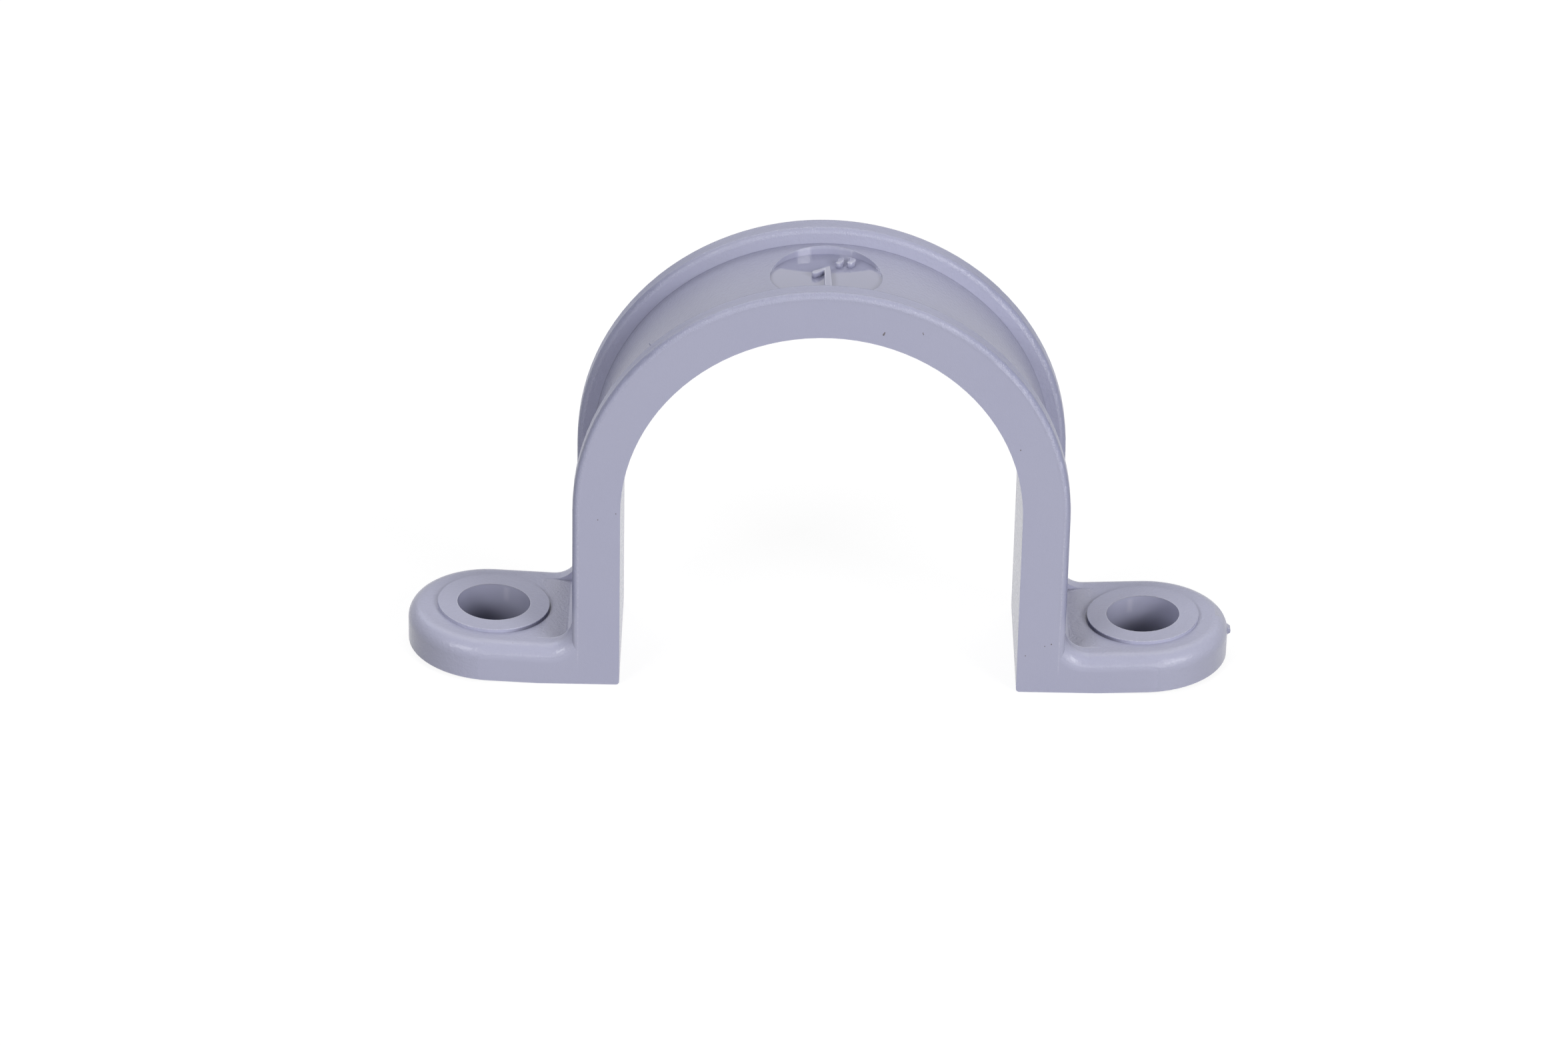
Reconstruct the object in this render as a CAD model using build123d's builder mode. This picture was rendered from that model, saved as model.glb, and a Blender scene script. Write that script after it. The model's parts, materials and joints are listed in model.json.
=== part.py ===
"""Two-hole strap that holds one pipe down on a flat surface, moulded in grey PVC as a single piece.

Millimetres. The legs stand on Z = 0, the pipe runs along Y, the feet reach out along X, and the
origin is midway between the two screw holes. The feet slope up a little towards their tips, so
that the screws press the saddle down on the pipe. The mould opens along Z.
"""

import os
from math import cos, radians, sin, tan

from build123d import *

# Saddle: the inverted U that the pipe lies in
saddle_radius = 17.0
springing_height = 16.7  # where the straight legs turn into the arch
strap_depth = 14.5  # along the pipe
strap_length = 70.85  # across the pipe, between the round tips of the feet

# Channel section: a web with a flange along each edge
web_thickness = 2.65
flange_height = 1.4  # how far the flanges stand above the web
channel_width = 10.3
flange_outer_rounding = 0.5
flange_inner_rounding = 0.5

# Feet
hole_spacing = 56.1
hole_diameter = 6.3
toe_rise = 2.5  # degrees, slope of the feet up to their tips
bend_distance = 24.0  # from the middle of the strap to where the underside starts to slope
foot_thickness = 3.35  # at the bend
foot_edge_rounding = 1.3
leg_fillet_radius = 2.0  # between the top of a foot and the leg
pocket_depth = 0.06  # the foot's top falls this much towards the web, between the flanges
pocket_runout = 1.3  # past the flanges' fillets, where that fall starts
heel_rounding = 0.3  # inner bottom edge of each leg

# Raised ring round each screw hole, and the sunk round panel for the size mark
boss_diameter = 9.65
boss_height = 0.3
panel_diameter = 9.45
panel_depth = 0.8

# Trimmed gate on the tip of the right foot: a slanted cut in its rounded edge, and a nub beside it
gate_cut_depth = 0.3
gate_cut_width = 2.8
gate_cut_angle = 45.0
nub_level = 2.45
nub_width = 0.8
nub_height = 1.0
nub_reach = 0.25  # past the foot's tip
nub_tip_height = 0.25

# Sizes that follow
web_radius = saddle_radius + web_thickness
flange_radius = web_radius + flange_height
leg_middle = saddle_radius + web_thickness / 2
overall_height = springing_height + flange_radius
foot_tip = strap_length / 2
clearance = 5.0  # how far a cutting shape passes beyond the surface it cuts
far_end = foot_tip + clearance
core_top = overall_height + clearance
fillet_reach = leg_fillet_radius / tan(radians(45 - toe_rise / 2))
pocket_end = flange_radius + fillet_reach + pocket_runout
core_end = 2 * pocket_end - web_radius
edge_start = foot_thickness - foot_edge_rounding
panel_floor = springing_height + web_radius - panel_depth


def rise_at(distance):
    """How far a foot has risen at this distance from the middle of the strap."""
    return (distance - bend_distance) * tan(radians(toe_rise))


def foot_top_at(distance):
    return foot_thickness + rise_at(distance)


def draw_arch(radius, low, mode=Mode.ADD):
    """Face of an upright arch: a half circle on two straight legs that end at the height low."""
    with BuildLine() as arch:
        CenterArc((0, springing_height), radius, 0, 180)
        Polyline(
            (radius, springing_height), (radius, low), (-radius, low), (-radius, springing_height)
        )
    make_face(arch.edges(), mode=mode)


# Space between the flanges
with BuildPart() as channel_core:
    with BuildSketch(Plane.XZ) as core_outline:
        with BuildLine():
            Polyline(
                (-core_end, core_top),
                (-core_end, foot_top_at(core_end) + pocket_depth),
                (-web_radius, foot_top_at(web_radius) - pocket_depth),
                (web_radius, foot_top_at(web_radius) - pocket_depth),
                (core_end, foot_top_at(core_end) + pocket_depth),
                (core_end, core_top),
                close=True,
            )
        make_face()
        draw_arch(web_radius, -clearance, mode=Mode.SUBTRACT)
        web_feet = core_outline.vertices().group_by(Axis.Y)[0]
        fillet(web_feet, leg_fillet_radius)
    extrude(amount=channel_width / 2, both=True)

# Legs and arch, with the channel between the flanges
with BuildPart() as band:
    with BuildSketch(Plane.XZ):
        draw_arch(flange_radius, 0)
    extrude(amount=strap_depth / 2, both=True)
    outer_rims = band.edges().filter_by(Axis.Y, reverse=True)
    outer_rims = outer_rims.filter_by(lambda edge: edge.center().Z > edge_start)
    fillet(outer_rims, flange_outer_rounding)
    add(channel_core.part, mode=Mode.SUBTRACT)
    crests = band.faces().filter_by(GeomType.CYLINDER)
    crests = crests.filter_by(lambda face: abs(face.radius - flange_radius) < 0.01)
    inner_rims = crests.edges()
    inner_rims = inner_rims.filter_by(
        lambda edge: abs(abs(edge.center().Y) - channel_width / 2) < 0.01
    )
    fillet(inner_rims, flange_inner_rounding)

# Right foot: as deep as the legs, rounded off along its top and up to the leg, with a raised ring
with BuildPart() as foot:
    corner_height = foot_top_at(flange_radius)
    leg_end = (flange_radius, corner_height + fillet_reach)
    top_start = flange_radius + fillet_reach * cos(radians(toe_rise))
    with BuildSketch(Plane.XZ):
        with BuildLine():
            Polyline(
                leg_end,
                (leg_middle, corner_height + fillet_reach),
                (leg_middle, 0),
                (bend_distance, 0),
                (far_end, rise_at(far_end)),
                (far_end, foot_top_at(far_end)),
                (top_start, foot_top_at(top_start)),
            )
            TangentArc(leg_end, (top_start, foot_top_at(top_start)), tangent=(0, -1))
        make_face()
    extrude(amount=strap_depth, both=True)
    with BuildSketch(Plane.XY):
        SlotOverall(strap_length, strap_depth)
    extrude(amount=core_top, mode=Mode.INTERSECT)
    slope_normal = (-sin(radians(toe_rise)), 0, cos(radians(toe_rise)))
    foot_top = foot.faces().filter_by(Plane((0, 0, 0), z_dir=slope_normal)).sort_by(Axis.Z)[-1]
    leg_fillet = foot.faces().filter_by(GeomType.CYLINDER)
    leg_fillet = leg_fillet.filter_by(lambda face: abs(face.radius - leg_fillet_radius) < 0.01)
    top_rims = (foot_top.edges() + leg_fillet.edges()).filter_by(Axis.Y, reverse=True)
    fillet(top_rims, foot_edge_rounding)
    add(channel_core.part, mode=Mode.SUBTRACT)
    ring_middle = (hole_spacing / 2, 0, foot_top_at(hole_spacing / 2) + boss_height)
    with BuildSketch(Plane(ring_middle, z_dir=slope_normal)):
        Circle(boss_diameter / 2)
    extrude(amount=-foot_thickness / 2)

# Nub left where the gate was trimmed
with BuildPart() as nub:
    with BuildSketch(Plane.XZ):
        with BuildLine():
            Polyline(
                (foot_tip - foot_edge_rounding, nub_level + nub_height / 2),
                (foot_tip - nub_reach, nub_level + nub_height / 2),
                (foot_tip + nub_reach, nub_level + nub_tip_height / 2),
                (foot_tip + nub_reach, nub_level - nub_tip_height / 2),
                (foot_tip - nub_reach, nub_level - nub_height / 2),
                (foot_tip - foot_edge_rounding, nub_level - nub_height / 2),
                close=True,
            )
        make_face()
    extrude(amount=nub_width / 2, both=True)

with BuildPart() as strap:
    add(foot.part)
    mirror(foot.part, about=Plane.YZ)
    add(band.part)
    cut_reach = foot_edge_rounding - gate_cut_depth
    outwards, upwards = cos(radians(gate_cut_angle)), sin(radians(gate_cut_angle))
    cut_middle = (
        foot_tip - foot_edge_rounding + cut_reach * outwards,
        gate_cut_width / 2,
        foot_top_at(foot_tip) - foot_edge_rounding + cut_reach * upwards,
    )
    with BuildSketch(Plane(cut_middle, x_dir=(0, 1, 0), z_dir=(outwards, 0, upwards))):
        Rectangle(gate_cut_width, 2 * foot_edge_rounding)
    extrude(amount=foot_edge_rounding, mode=Mode.SUBTRACT)
    add(nub.part)
    with BuildSketch(Plane.XZ):
        draw_arch(saddle_radius, -clearance)
    extrude(amount=strap_depth, both=True, mode=Mode.SUBTRACT)
    heels = strap.edges().filter_by(Axis.Y).group_by(Axis.Z)[0]
    heels = heels.filter_by(lambda edge: abs(edge.center().X) < leg_middle)
    fillet(heels, heel_rounding)
    with BuildSketch(Plane.XY.offset(-clearance)):
        with GridLocations(hole_spacing, 0, 2, 1):
            Circle(hole_diameter / 2)
    extrude(amount=core_top, mode=Mode.SUBTRACT)
    with BuildSketch(Plane.XY.offset(panel_floor)):
        Circle(panel_diameter / 2)
    extrude(amount=core_top - panel_floor, mode=Mode.SUBTRACT)

strap.part.label = "strap"

os.makedirs("parts", exist_ok=True)
export_step(strap.part, "parts/strap.step")
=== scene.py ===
"""Looks of a two-hole pipe strap, moulded in lilac-grey PVC.

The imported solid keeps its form. Added here are the material of the moulding, the raised size mark
in the round panel, scraps of flash, the floor, the lamps and the camera. Lengths are written in
millimetres and turned into metres with MM.
"""

import json
import math
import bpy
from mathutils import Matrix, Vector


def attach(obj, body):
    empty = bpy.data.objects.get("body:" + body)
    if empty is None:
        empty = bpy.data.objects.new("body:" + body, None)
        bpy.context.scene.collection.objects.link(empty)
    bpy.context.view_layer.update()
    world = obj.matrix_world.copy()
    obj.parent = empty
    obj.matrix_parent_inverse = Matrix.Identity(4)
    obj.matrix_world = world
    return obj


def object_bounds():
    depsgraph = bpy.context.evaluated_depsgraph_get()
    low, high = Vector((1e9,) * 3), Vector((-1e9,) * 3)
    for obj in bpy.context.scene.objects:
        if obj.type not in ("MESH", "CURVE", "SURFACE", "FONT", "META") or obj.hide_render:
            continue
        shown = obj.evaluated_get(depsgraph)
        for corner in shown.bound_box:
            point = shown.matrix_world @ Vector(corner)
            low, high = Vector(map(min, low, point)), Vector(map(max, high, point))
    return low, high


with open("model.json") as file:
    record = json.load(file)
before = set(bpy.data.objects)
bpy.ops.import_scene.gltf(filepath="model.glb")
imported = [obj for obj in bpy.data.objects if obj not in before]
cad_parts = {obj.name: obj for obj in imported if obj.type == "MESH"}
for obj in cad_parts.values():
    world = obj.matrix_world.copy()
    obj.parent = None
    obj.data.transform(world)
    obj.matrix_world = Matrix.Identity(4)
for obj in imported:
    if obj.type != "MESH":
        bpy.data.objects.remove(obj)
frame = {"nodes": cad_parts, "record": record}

from types import SimpleNamespace

import bmesh
import bpy
from mathutils import Matrix, Vector

solid_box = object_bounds()

MM = 0.001

# Sizes that the frame gives, in millimetres
mounts = {mount["name"]: mount for mount in frame["record"]["mounts"]}
SADDLE_RADIUS = mounts["saddle"]["dims"]["r_mm"]
ARCH_CENTRE = mounts["saddle"]["pos_m"][2] / MM
HOLE_X = mounts["screw_holes"]["dims"]["spacing_x_mm"] / 2
HOLE_RADIUS = mounts["screw_holes"]["dims"]["hole_r_mm"]
HALF_DEPTH = solid_box[1][1] / MM

# Sizes of the moulding that the pattern of its surface follows, in millimetres
WEB_THICKNESS = 2.65
WEB_RADIUS = SADDLE_RADIUS + WEB_THICKNESS
FLANGE_HEIGHT = 1.4
CREST_RADIUS = WEB_RADIUS + FLANGE_HEIGHT
FLANGE_ROUNDING = 0.5
FACE_EDGE_RADIUS = CREST_RADIUS - FLANGE_ROUNDING  # where a flange's flat side starts to round off
CHANNEL_HALF = 5.15
OUTER_RIM = HALF_DEPTH - FLANGE_ROUNDING / 2
INNER_RIM = CHANNEL_HALF + 0.17
RING_RADIUS = 4.825
RING_TOP = 3.83
TOE_RISE = math.radians(2.5)
PANEL_RADIUS = 4.725
PANEL_DEPTH = 0.8
PANEL_FLOOR = ARCH_CENTRE + WEB_RADIUS - PANEL_DEPTH
POCKET_START = 21.6  # the sunk top of each foot, from the leg outwards
POCKET_END = 23.5

# Heights between which one area of the surface fades into the next, in millimetres
CROWN_FADE = (PANEL_FLOOR - 0.35, PANEL_FLOOR - 0.15)
ARCH_FADE = (6.0, 8.0)
FOOT_TOP_FADE = (3.0, 3.1)
FOOT_END_FADE = (4.2, 4.6)

# Pale streak down the rear wall of each hole, a little towards the leg
HOLE_STREAK_PLACE = 0.95
HOLE_STREAK_HALF = 0.22

# Way from a hole's middle in which its ring throws a shadow: towards the leg and to the front
SHADOW_WAY = (0.92, -0.39)

# Colours, as linear light
LILAC = (0.395, 0.40, 0.53)
LILAC_DARK = (0.33, 0.335, 0.445)
LILAC_GREY = (0.415, 0.42, 0.535)
POCKET_GREY = (0.40, 0.40, 0.485)
# Painted shade on the flanges' crests, stronger towards the shoulders of the arch
CREST_PAINTED_SHADE = (0.29, 0.3, 0.445)
PANEL_LILAC = (0.32, 0.325, 0.45)
# Painted light on the channel's inner walls, near the crown
INNER_WALL_PAINTED_LIGHT = (0.43, 0.435, 0.54)
# Painted highlights along edges and rims, and pale lines along the foot pockets
PALE_LINE_AND_HIGHLIGHT = (0.56, 0.56, 0.66)
# Painted shade in the web's roots, by the rings and down the holes
SHADOW_LINE = (0.08, 0.08, 0.12)
SPECK_BROWN = (0.10, 0.075, 0.06)
FLOOR_GREY = (0.18, 0.18, 0.18)
WHITE = (1.0, 1.0, 1.0)

# Finish of the plastic
SATIN_ROUGHNESS = 0.18
PANEL_ROUGHNESS = 0.02
BORE_ROUGHNESS = 0.13
PLASTIC_IOR = 1.38
GRAIN_DEPTH = 0.048
GRAIN_STRENGTH = 0.9

# Stray specks: cells to the millimetre, share of cells without one, and a speck's edge in cells
STRAY_CELLS = 0.42
STRAY_MISSING = 0.72
STRAY_EDGE = (0.012, 0.024)

# Size mark on the panel floor, in millimetres: outline of the 1, and the two inch marks
MARK_TOP = 36.04
MARK_ROOT = 35.5
MARK_ROUNDING = 0.11
ONE_OUTLINE = (
    (-0.13, -2.9), (0.51, -2.9), (0.42, 0.6), (0.39, 1.5), (0.34, 1.61), (0.08, 1.6),
    (-0.22, 1.36), (-0.48, 1.11), (-0.73, 0.9), (-1.0, 0.76), (-1.17, 0.62), (-1.24, 0.42),
    (-1.17, 0.22), (-1.0, 0.14), (-0.74, 0.24), (-0.5, 0.44), (-0.3, 0.7), (-0.14, 0.92),
)
INCH_LEFT = (
    (0.82, 2.16), (0.94, 2.05), (1.13, 2.07), (1.29, 2.21), (1.43, 2.45), (1.51, 2.72),
    (1.49, 2.96), (1.36, 3.1), (1.13, 3.11), (0.97, 3.0), (0.92, 2.80), (0.90, 2.60),
    (0.82, 2.41), (0.77, 2.28),
)
INCH_RIGHT = (
    (1.76, 2.26), (1.88, 2.15), (2.08, 2.16), (2.28, 2.3), (2.44, 2.54), (2.53, 2.82),
    (2.5, 3.06), (2.35, 3.19), (2.10, 3.19), (1.93, 3.07), (1.91, 2.87), (1.9, 2.70),
    (1.79, 2.53), (1.72, 2.4),
)

# Dark specks in the plastic, as x, y, z and radius in millimetres
SPECKS = (
    (4.79, -7.25, 34.1, 0.08), (4.83, -7.25, 34.19, 0.075), (4.88, -7.25, 34.29, 0.06),
    (8.06, -7.25, 34.32, 0.05), (8.1, -7.25, 34.2, 0.05), (16.56, -7.25, 23.48, 0.06),
    (19.87, -7.25, 4.75, 0.06), (19.31, -7.25, 4.54, 0.045), (17.69, -7.25, 3.58, 0.05),
    (-17.36, -7.25, 16.68, 0.05), (-18.88, -7.25, 16.07, 0.05), (-26.15, -6.34, 3.44, 0.06),
    (31.9, -1.6, 3.7, 0.05),
)

# Scraps of flash round the left ring and on the front flange: two ends, width and height
SCRAPS = (
    ((-26.95, 4.68, 3.7), (-26.3, 4.5, 3.7), 0.1, 0.12),
    ((-26.0, 4.32, 3.66), (-25.3, 3.94, 3.66), 0.08, 0.14),
    ((-30.3, -4.27, 3.83), (-29.5, -4.6, 3.79), 0.07, 0.09),
    ((-28.9, -4.78, 3.77), (-28.1, -4.84, 3.74), 0.06, 0.08),
    ((-26.5, -4.58, 3.68), (-25.3, -4.0, 3.63), 0.06, 0.08),
    ((-31.3, -3.55, 3.88), (-30.8, -3.98, 3.86), 0.06, 0.09),
    ((-14.6, -5.45, 31.78), (-14.74, -5.28, 31.96), 0.08, 0.1),
)

# Floor, lamps and room
TABLE_HALF = 4.0  # metres, from its middle to each side
TABLE_DROP = 0.01
SHADE_FADE = (4.0, 4.5)  # nearer to a hole's middle, the camera sees the floor's own grey
FLOOR_GLOW = 0.88
ROOM_LIGHT = 0.03
LAMP_DISTANCE = 1.2  # metres
LAMP_AIM = 18.0
WARM = (1.02, 1.0, 0.9)
COOL = (0.96, 1.0, 1.16)
LAMPS = (
    # name, azimuth, elevation, width and height in metres, watts to the square metre, colour
    ("softbox_left", -41.4, 35.5, 0.48, 0.34, 33, WHITE),
    ("softbox_right", 46.8, 30, 0.52, 0.4, 31, WHITE),
    ("front_left", -20, 13, 1.0, 0.5, 1.8, WHITE),
    ("front_right", 20, 13, 1.2, 0.5, 7.4, WHITE),
    ("low_front", 30, 10, 0.9, 0.35, 4, WHITE),
    ("back_top", 180, 62, 0.8, 0.8, 6.3, WARM),
    ("back_left", -140, 40, 0.6, 0.6, 6.2, COOL),
    ("back_right", 140, 40, 0.6, 0.6, 2.6, COOL),
)

# The photograph's camera, in pixels, millimetres and degrees
FOCAL_PIXELS = 9174.6
PHOTO_WIDTH = 2352
PHOTO_HEIGHT = 1568
LOOK_POINT = (0.0, 0.0, 17.0)
LOOK_PIXEL = (1232.38, 710.56)
CAMERA_DISTANCE = 522.30
PITCH = 28.8199
YAW = 0.2678
ROLL = 1.1779
SENSOR = 36.0
NEAREST = 10.0


class Maths:
    """A shader socket on which plain arithmetic adds Math nodes."""

    def __init__(self, shader, socket):
        self.shader = shader
        self.socket = socket

    def _join(self, operation, *values):
        return self.shader.node("ShaderNodeMath", {"operation": operation}, dict(enumerate(values)))

    def __add__(self, other):
        return self._join("ADD", self, other)

    def __radd__(self, other):
        return self._join("ADD", other, self)

    def __sub__(self, other):
        return self._join("SUBTRACT", self, other)

    def __rsub__(self, other):
        return self._join("SUBTRACT", other, self)

    def __mul__(self, other):
        return self._join("MULTIPLY", self, other)

    def __rmul__(self, other):
        return self._join("MULTIPLY", other, self)

    def __truediv__(self, other):
        return self._join("DIVIDE", self, other)

    def __pow__(self, other):
        return self._join("POWER", self, other)

    def __gt__(self, other):
        return self._join("GREATER_THAN", self, other)

    def __abs__(self):
        return self._join("ABSOLUTE", self)

    def sqrt(self):
        return self._join("SQRT", self)

    def turn(self, other):
        """Angle whose tangent is this value over the other."""
        return self._join("ARCTAN2", self, other)

    def most(self, other):
        return self._join("MAXIMUM", self, other)

    def ramp(self, low, high):
        """0 up to the value low, 1 from the value high, and a smooth step between them."""
        settings = {"interpolation_type": "SMOOTHSTEP"}
        sockets = {0: self, 1: low, 2: high, 3: 0.0, 4: 1.0}
        return self.shader.node("ShaderNodeMapRange", settings, sockets)


class Shader:
    """The nodes of one material, or of the world."""

    def __init__(self, owner):
        owner.use_nodes = True
        self.owner = owner
        self.tree = owner.node_tree
        self.tree.nodes.clear()

    def node(self, kind, settings=None, sockets=None, out=0):
        """Adds a node, sets its settings, fills its sockets and returns one output."""
        made = self.tree.nodes.new(kind)
        for key, value in (settings or {}).items():
            setattr(made, key, value)
        for key, value in (sockets or {}).items():
            if isinstance(value, Maths):
                self.tree.links.new(value.socket, made.inputs[key])
            else:
                made.inputs[key].default_value = value
        return Maths(self, made.outputs[out])

    def place(self):
        """Object coordinates in millimetres, as x, y, z values and as one vector."""
        found = self.node("ShaderNodeTexCoord", out="Object")
        scaled = self.node("ShaderNodeVectorMath", {"operation": "SCALE"}, {0: found, "Scale": 1 / MM})
        split = [self.node("ShaderNodeSeparateXYZ", None, {0: scaled}, axis) for axis in range(3)]
        return (*split, scaled)

    def vector(self, x, y, z):
        return self.node("ShaderNodeCombineXYZ", None, {0: x, 1: y, 2: z})

    def noise(self, vector, scale, detail=2.0, roughness=0.5):
        """Noise between 0 and 1 with so many waves to the millimetre."""
        return self.node(
            "ShaderNodeTexNoise",
            {"noise_dimensions": "3D"},
            {"Vector": vector, "Scale": scale, "Detail": detail, "Roughness": roughness},
        )

    def mix(self, factor, first, second):
        """Mix of two colours."""
        rgba = [value if isinstance(value, Maths) else (*value, 1.0) for value in (first, second)]
        sockets = {0: factor, 6: rgba[0], 7: rgba[1]}
        return self.node("ShaderNodeMix", {"data_type": "RGBA"}, sockets, out=2)

    def light_path(self):
        """1 for rays that end in the camera, also by reflection or through clear pieces, and else 0."""
        rays = ("Is Camera Ray", "Is Glossy Ray", "Is Transmission Ray")
        camera_ray, glossy_ray, clear_ray = [self.node("ShaderNodeLightPath", out=ray) for ray in rays]
        return camera_ray.most(glossy_ray).most(clear_ray)

    def finish(self, surface, output="ShaderNodeOutputMaterial"):
        made = self.tree.nodes.new(output)
        self.tree.links.new(surface.socket, made.inputs["Surface"])
        return self.owner


def band(value, centre, half, edge):
    """Mask that is 1 where a value is within half of the centre, with soft edges."""
    return 1 - abs(value - centre).ramp(half - edge, half + edge)


def below(value, limit, edge):
    """Mask that is 1 where a value is under a limit, with a soft edge."""
    return 1 - value.ramp(limit - edge, limit + edge)


def strongest(*masks):
    """The highest of some masks."""
    found = masks[0]
    for mask in masks[1:]:
        found = found.most(mask)
    return found


def measure(s):
    """Where a point of the surface lies on the strap, in millimetres."""
    x, y, z, point = s.place()
    side = abs(x)
    lift = (z - ARCH_CENTRE).most(0.0)
    from_hole = ((side - HOLE_X) ** 2 + y * y).sqrt()
    shadow_x, shadow_y = SHADOW_WAY
    return SimpleNamespace(
        point=point,
        y=y,
        z=z,
        side=side,
        front=abs(y),
        out=(x * x + lift * lift).sqrt(),  # from the middle of the saddle
        along=x.turn(lift) * WEB_RADIUS,  # round the web, from the crown
        across=(x * x + y * y).sqrt(),  # from the middle of the panel
        from_hole=from_hole,
        to_leg=HOLE_X - side,
        to_shadow=((HOLE_X - side) * shadow_x + y * shadow_y) / RING_RADIUS,
        under_ring=RING_TOP + (side - HOLE_X) * math.tan(TOE_RISE) - z,
    )


def find_areas(at):
    """Masks of the areas of the surface that have a finish of their own."""
    arch = at.z.ramp(*ARCH_FADE)
    foot = 1 - at.z.ramp(*FOOT_END_FADE)
    foot_top = at.z.ramp(*FOOT_TOP_FADE) * foot
    channel = below(at.front, CHANNEL_HALF, 0.05)
    panel = (1 - at.across.ramp(PANEL_RADIUS - 0.02, PANEL_RADIUS + 0.03)) * at.z.ramp(*CROWN_FADE)
    bore = below(at.from_hole, HOLE_RADIUS + 0.02, 0.01) * at.under_ring.ramp(0.01, 0.05)
    pocket = channel * at.side.ramp(POCKET_START - 0.1, POCKET_START + 0.1) * foot_top
    pocket = pocket * below(at.side, POCKET_END, 1.1) * at.from_hole.ramp(RING_RADIUS, RING_RADIUS + 0.1)
    rims = band(at.front, INNER_RIM, 0.3, 0.12).most(band(at.front, OUTER_RIM, 0.3, 0.12))
    return SimpleNamespace(
        foot=foot,
        foot_top=foot_top,
        panel=panel,
        panel_wall=panel * at.z.ramp(PANEL_FLOOR + 0.03, PANEL_FLOOR + 0.08),
        web=channel * band(at.out, WEB_RADIUS, 0.12, 0.05) * (1 - panel),
        inner_wall=band(at.front, CHANNEL_HALF, 0.06, 0.03) * band(at.out, WEB_RADIUS + 0.55, 0.5, 0.1),
        crest=at.out.ramp(FACE_EDGE_RADIUS, CREST_RADIUS) * arch,
        rims=rims * at.out.ramp(FACE_EDGE_RADIUS - 0.25, FACE_EDGE_RADIUS + 0.05) * arch,
        flat_side=at.front.ramp(HALF_DEPTH - 0.12, HALF_DEPTH - 0.02),
        pocket=pocket,
        bore=bore,
        polished=panel.most(bore),
    )


def pale_lines_and_highlights(at, area, glint):
    """Mask of painted highlights along the moulding's edges, of pale lines along the foot pockets, and of
    the pale streak in each hole.
    """
    # Painted highlights along the legs' face edges, the holes' rims, the rings' front rims and the panel's
    # rim, some flecked by the glint noise
    face_edge_highlight = band(at.out, FACE_EDGE_RADIUS, 0.05, 0.03) * band(at.front, HALF_DEPTH, 0.02, 0.01)
    face_edge_highlight = face_edge_highlight * at.z.ramp(1.2, 3.0) * (1 - at.z.ramp(15.0, 19.0))
    hole_edge_highlight = band(at.from_hole, HOLE_RADIUS, 0.06, 0.03) * band(at.under_ring, 0.0, 0.06, 0.02)
    ring_edge_highlight = band(at.from_hole, RING_RADIUS, 0.07, 0.03) * band(at.under_ring, 0.0, 0.05, 0.02)
    ring_edge_highlight = ring_edge_highlight * (0 - at.y).ramp(1.0, 3.5)
    panel_edge_highlight = band(at.across, PANEL_RADIUS + 0.04, 0.05, 0.03)
    panel_edge_highlight = panel_edge_highlight * at.z.ramp(PANEL_FLOOR + 0.45, PANEL_FLOOR + 0.55)
    # Pale lines along the edges of each foot's pocket
    pocket_edge = band(at.side, POCKET_START - 0.15, 0.15, 0.06) * below(at.front, 4.8, 0.2)
    pocket_end = band(at.y, -CHANNEL_HALF - 0.05, 0.07, 0.05) * band(at.side, POCKET_START + 1, 1.3, 0.4)
    hole_streak = area.bore * band(at.to_leg, HOLE_STREAK_PLACE, HOLE_STREAK_HALF, 0.18) * at.y.ramp(0.0, 0.5)
    hole_streak = hole_streak * at.under_ring.ramp(0.1, 0.4) * below(at.under_ring, 1.5, 0.3)
    return strongest(
        face_edge_highlight * (0.15 + glint * 0.3),
        hole_edge_highlight * 0.5,
        ring_edge_highlight * (0.4 + glint * 0.5),
        hole_streak * 0.4,
        panel_edge_highlight * 0.4,
        pocket_edge * area.foot_top * 0.45,
        pocket_end * area.foot_top * 0.45,
    )


def painted_shade_lines(at, area):
    """Mask of painted shade: a dark line in the web's roots, the shadow at each ring and shade down in each
    hole.
    """
    root = band(at.out, WEB_RADIUS, 0.03, 0.02) * band(at.front, CHANNEL_HALF, 0.05, 0.02)
    ring_shadow = band(at.from_hole, RING_RADIUS + 0.03, 0.09, 0.04) * at.under_ring.ramp(0.06, 0.12)
    ring_shadow = ring_shadow * at.to_shadow.ramp(0.55, 0.95) * area.foot
    # painted shade, deeper down each hole
    hole_shade = area.bore * at.under_ring.ramp(1.3, 3.6)
    return strongest(root * 0.28, ring_shadow * 0.75, hole_shade * 0.6)


def specks(s, point):
    """Mask of the dark specks: the photograph's own, and a few small ones strewn about."""
    cells = {"Vector": point, "Scale": STRAY_CELLS}
    settings = {"feature": "F1", "voronoi_dimensions": "3D"}
    distance = s.node("ShaderNodeTexVoronoi", settings, cells, "Distance")
    draw = s.node("ShaderNodeTexVoronoi", settings, cells, "Color")
    chance = s.node("ShaderNodeSeparateColor", None, {0: draw})
    stray = (1 - distance.ramp(*STRAY_EDGE)) * (chance > STRAY_MISSING) * 0.5
    found = 0.0
    for *centre, radius in SPECKS:
        settings = {"operation": "DISTANCE"}
        reach = s.node("ShaderNodeVectorMath", settings, {0: point, 1: centre}, "Value")
        found = below(reach, radius, radius * 0.3).most(found)
    return (found * 0.85).most(stray)


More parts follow.
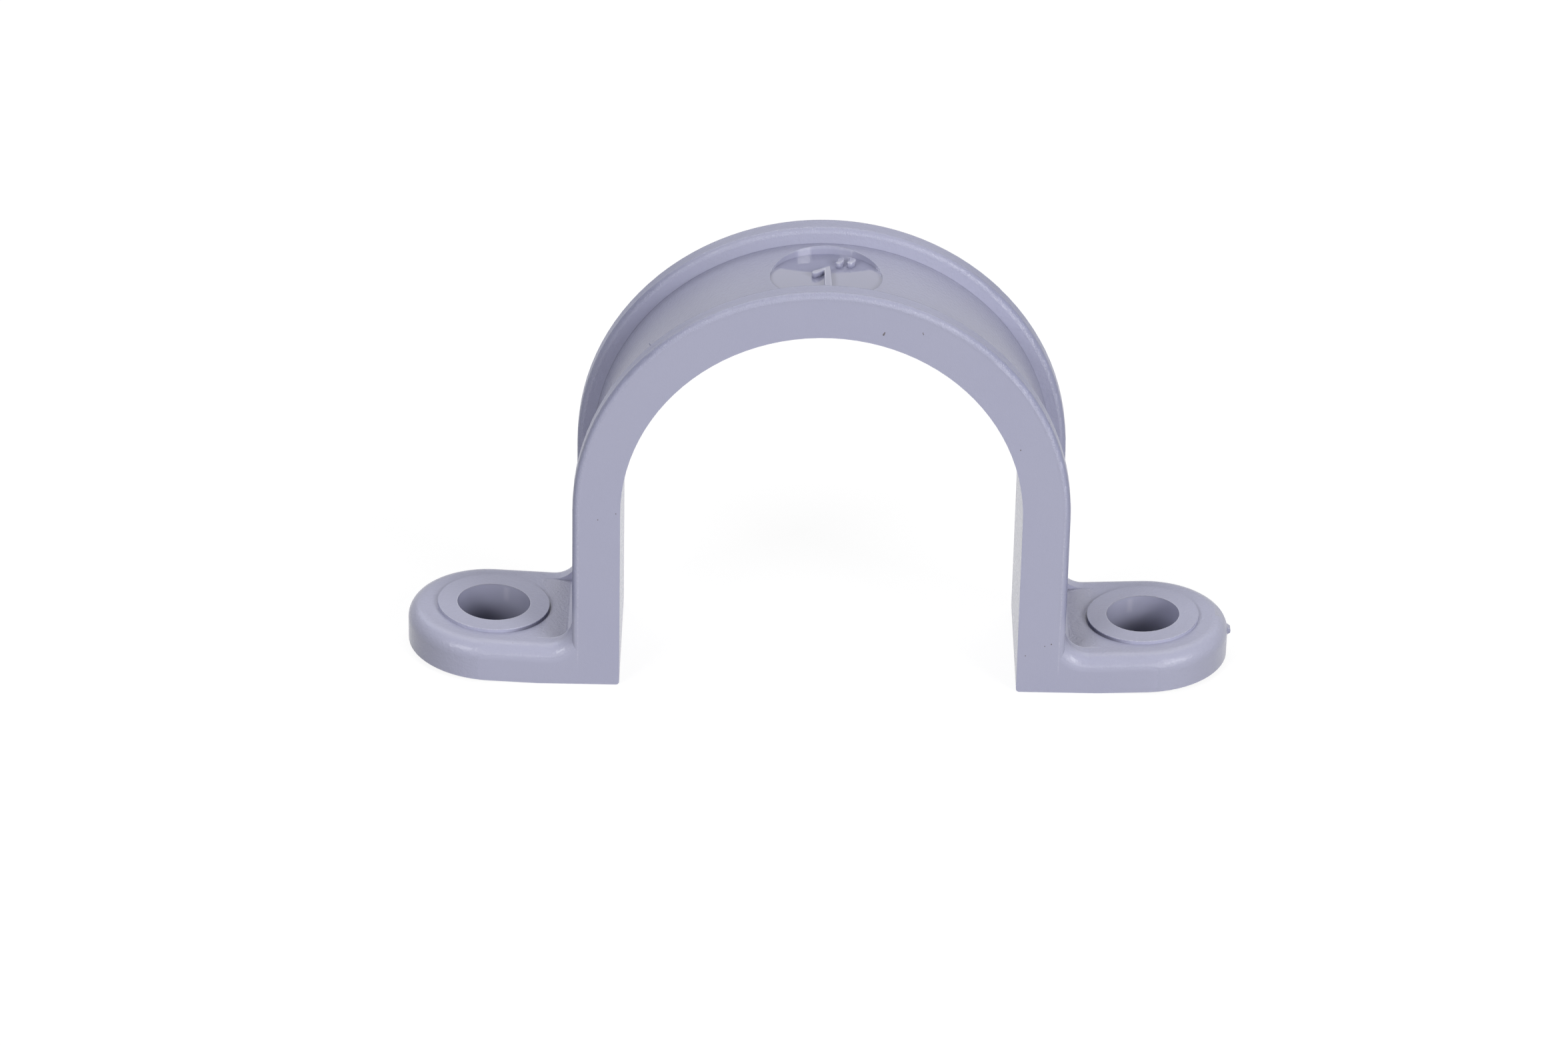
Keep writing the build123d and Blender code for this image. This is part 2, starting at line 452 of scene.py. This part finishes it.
def moulded_pvc():
    """Satin lilac PVC: fine grain, duller foot pockets, polished panel and hole walls, dark specks, with
    painted shade and painted highlights.
    """
    s = Shader(bpy.data.materials.new("moulded_pvc"))
    at = measure(s)
    area = find_areas(at)
    cloud = s.noise(at.point, 0.09, 2.0)
    grain = s.noise(at.point, 3.8, 3.0, 0.55)
    sparkle = s.noise(at.point, 9.0, 1.0)
    fine = s.noise(at.point, 14.0, 2.0, 0.6)
    streak = s.noise(s.vector(at.along * 0.5, at.y * 7.0, 0.0), 1.0, 3.0, 0.6)
    glint = s.noise(at.point, 5.0, 2.0).ramp(0.48, 0.62)

    colour = LILAC
    for mask, tint in (
        (cloud.ramp(0.3, 0.7) * 0.35, LILAC_GREY),
        (fine.ramp(0.55, 0.8) * 0.12, LILAC_DARK),
        (area.pocket * 0.7, POCKET_GREY),
        # painted shade on the crests, stronger away from the crown
        (area.crest * (0.3 + at.side.ramp(8.0, 17.0) * 0.7), CREST_PAINTED_SHADE),
        # darker lilac on the panel's polished floor; its wall keeps most of the plain lilac, as painted
        # light
        (area.panel * (1 - area.panel_wall * 0.8), PANEL_LILAC),
        # painted light: the inner walls lightened near the crown
        (area.inner_wall * 0.4 * (1 - at.side.ramp(8.0, 16.0)), INNER_WALL_PAINTED_LIGHT),
        # painted highlights on edges and rims, pale pocket lines and the pale streak in each hole
        (pale_lines_and_highlights(at, area, glint), PALE_LINE_AND_HIGHLIGHT),
        # painted shade in the roots, by the rings and down the holes
        (painted_shade_lines(at, area), SHADOW_LINE),
        (specks(s, at.point), SPECK_BROWN),
    ):
        colour = s.mix(mask, colour, tint)

    worn = grain.ramp(0.5, 0.6) * (1 - area.flat_side * 0.6) * (1 - area.pocket * 0.8) * (1 - area.web * 0.4)
    rough = SATIN_ROUGHNESS + fine * 0.05 + area.flat_side * 0.12 + area.pocket * 0.2
    rough = rough - worn * 0.05 - area.rims * 0.06 + area.crest * (1 - area.rims) * 0.15
    rough = rough * (1 - area.polished) + area.panel * PANEL_ROUGHNESS + area.bore * BORE_ROUGHNESS

    height = grain * (1 - area.flat_side * 0.75) + fine * 0.18
    height = height * (1 - area.rims * 0.5) + area.rims * sparkle * 0.95
    height = height * (1 + area.pocket * 0.7) * (1 - area.polished)
    height = height + area.web * streak * 0.2 + area.pocket * fine * 0.3
    relief = {"Strength": GRAIN_STRENGTH, "Distance": GRAIN_DEPTH * MM, "Height": height}
    surface = s.node(
        "ShaderNodeBsdfPrincipled",
        None,
        {
            "Base Color": colour,
            "Roughness": rough,
            "Normal": s.node("ShaderNodeBump", None, relief),
            "IOR": PLASTIC_IOR,
            "Coat Weight": area.panel,
            "Coat Roughness": PANEL_ROUGHNESS,
        },
    )
    return s.finish(surface)


def add_object(name, bm, material):
    """Puts a finished bmesh into the scene as an object at the origin."""
    mesh = bpy.data.meshes.new(name)
    bm.to_mesh(mesh)
    bm.free()
    mesh.materials.append(material)
    made = bpy.data.objects.new(name, mesh)
    bpy.context.scene.collection.objects.link(made)
    return made


def raise_sign(bm, outline):
    """Raises one sign from its outline, with upright sides and a rounded top edge."""
    corners = [bm.verts.new((x * MM, y * MM, MARK_ROOT * MM)) for x, y in outline]
    base = bm.faces.new(corners)
    raised = bmesh.ops.extrude_face_region(bm, geom=[base])["geom"]
    top = [part for part in raised if isinstance(part, bmesh.types.BMVert)]
    bmesh.ops.translate(bm, verts=top, vec=(0, 0, (MARK_TOP - MARK_ROOT) * MM))
    rims = [part for part in raised if isinstance(part, bmesh.types.BMEdge)]
    bmesh.ops.bevel(
        bm,
        geom=rims,
        offset=MARK_ROUNDING * MM,
        offset_type="OFFSET",
        affect="EDGES",
        segments=4,
        profile=0.5,
        material=-1,
    )


def size_mark(material):
    """The plain size on the panel floor: a 1 and two inch marks."""
    bm = bmesh.new()
    for outline in (ONE_OUTLINE, INCH_LEFT, INCH_RIGHT):
        raise_sign(bm, outline)
    bmesh.ops.recalc_face_normals(bm, faces=bm.faces)
    for face in bm.faces:
        face.smooth = True
    mark = add_object("size_mark", bm, material)
    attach(mark, "root")


def flash_scraps(material):
    """Crumbs and slivers of flash, each a bent and uneven spindle."""
    bm = bmesh.new()
    for start, end, width, tall in SCRAPS:
        a, b = Vector(start) * MM, Vector(end) * MM
        size = Matrix.Diagonal(((b - a).length / 2, width * MM / 2, tall * MM / 2, 1))
        turn = (b - a).to_track_quat("X", "Z").to_matrix().to_4x4()
        place = Matrix.Translation((a + b) / 2) @ turn
        made = bmesh.ops.create_icosphere(bm, subdivisions=2, radius=1.0)["verts"]
        for vert in made:
            vert.co.y += math.sin(vert.co.x * 5 + width * 90) * 0.5
            vert.co.z *= 1.0 + math.sin(vert.co.x * 7 + tall * 50) * 0.4
        bmesh.ops.transform(bm, matrix=place @ size, verts=made)
    for face in bm.faces:
        face.smooth = True
    scraps = add_object("flash_scraps", bm, material)
    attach(scraps, "root")


def dress_strap():
    strap = frame["nodes"]["strap"]
    pvc = moulded_pvc()
    strap.material_slots[0].material = pvc
    size_mark(pvc)
    flash_scraps(pvc)


def floor():
    """Pale table top, shown white to the camera and in reflections. It keeps the shadow."""
    s = Shader(bpy.data.materials.new("white_table"))
    x, y = s.place()[:2]
    from_hole = ((abs(x) - HOLE_X) ** 2 + y * y).sqrt()
    shown_white = s.light_path() * from_hole.ramp(*SHADE_FADE)
    matte = s.node("ShaderNodeBsdfDiffuse", None, {"Color": (*FLOOR_GREY, 1.0)})
    glow = s.node("ShaderNodeEmission", None, {"Color": (*WHITE, 1.0), "Strength": FLOOR_GLOW})
    glowing = s.node("ShaderNodeAddShader", None, {0: matte, 1: glow})
    surface = s.node("ShaderNodeMixShader", None, {0: shown_white, 1: matte, 2: glowing})
    bm = bmesh.new()
    bmesh.ops.create_grid(bm, x_segments=1, y_segments=1, size=TABLE_HALF)
    bmesh.ops.translate(bm, verts=bm.verts, vec=(0, 0, -TABLE_DROP * MM))
    table = add_object("table_top", bm, s.finish(surface))


def lamp(name, azimuth, elevation, width, height, strength, colour):
    """Soft box aimed at the strap. Azimuth 0 stands in front, and grows to the right."""
    data = bpy.data.lights.new(name, "AREA")
    data.shape = "RECTANGLE"
    data.size = width
    data.size_y = height
    data.energy = strength * width * height
    data.color = colour
    box = bpy.data.objects.new(name, data)
    turn, tilt = math.radians(azimuth), math.radians(elevation)
    away = Vector((math.sin(turn) * math.cos(tilt), -math.cos(turn) * math.cos(tilt), math.sin(tilt)))
    box.location = Vector((0, 0, LAMP_AIM * MM)) + away * LAMP_DISTANCE
    box.rotation_euler = away.to_track_quat("Z", "Y").to_euler()
    bpy.context.scene.collection.objects.link(box)


def room():
    """Even light from all round. The camera and reflections see white behind the floor."""
    s = Shader(bpy.data.worlds.new("studio"))
    light = s.node("ShaderNodeBackground", None, {"Color": (*WHITE, 1.0), "Strength": ROOM_LIGHT})
    backdrop = s.node("ShaderNodeBackground", None, {"Color": (*WHITE, 1.0), "Strength": 1.0})
    both = s.node("ShaderNodeMixShader", None, {0: s.light_path(), 1: light, 2: backdrop})
    bpy.context.scene.world = s.finish(both, "ShaderNodeOutputWorld")


def camera():
    """The photograph's camera, placed so that LOOK_POINT lands on LOOK_PIXEL."""
    yaw, pitch, roll = (math.radians(angle) for angle in (YAW, PITCH, ROLL))
    forward = Vector((math.sin(yaw) * math.cos(pitch), math.cos(yaw) * math.cos(pitch), -math.sin(pitch)))
    level = Vector((math.cos(yaw), -math.sin(yaw), 0))
    upright = level.cross(forward)
    right = level * math.cos(roll) + upright * math.sin(roll)
    up = upright * math.cos(roll) - level * math.sin(roll)
    pixel = CAMERA_DISTANCE / FOCAL_PIXELS
    aside = (LOOK_PIXEL[0] - PHOTO_WIDTH / 2) * pixel
    down = (LOOK_PIXEL[1] - PHOTO_HEIGHT / 2) * pixel
    place = Vector(LOOK_POINT) - right * aside + up * down - forward * CAMERA_DISTANCE
    data = bpy.data.cameras.new("camera")
    data.sensor_fit = "HORIZONTAL"
    data.sensor_width = SENSOR
    data.lens = FOCAL_PIXELS / PHOTO_WIDTH * SENSOR
    data.clip_start = NEAREST * MM
    view = bpy.data.objects.new("camera", data)
    turn = Matrix((right, up, -forward)).transposed()
    view.matrix_world = Matrix.Translation(place * MM) @ turn.to_4x4()
    bpy.context.scene.collection.objects.link(view)
    bpy.context.scene.camera = view


dress_strap()
floor()
for setting in LAMPS:
    lamp(*setting)
room()
camera()
bpy.context.scene.view_settings.view_transform = "Standard"
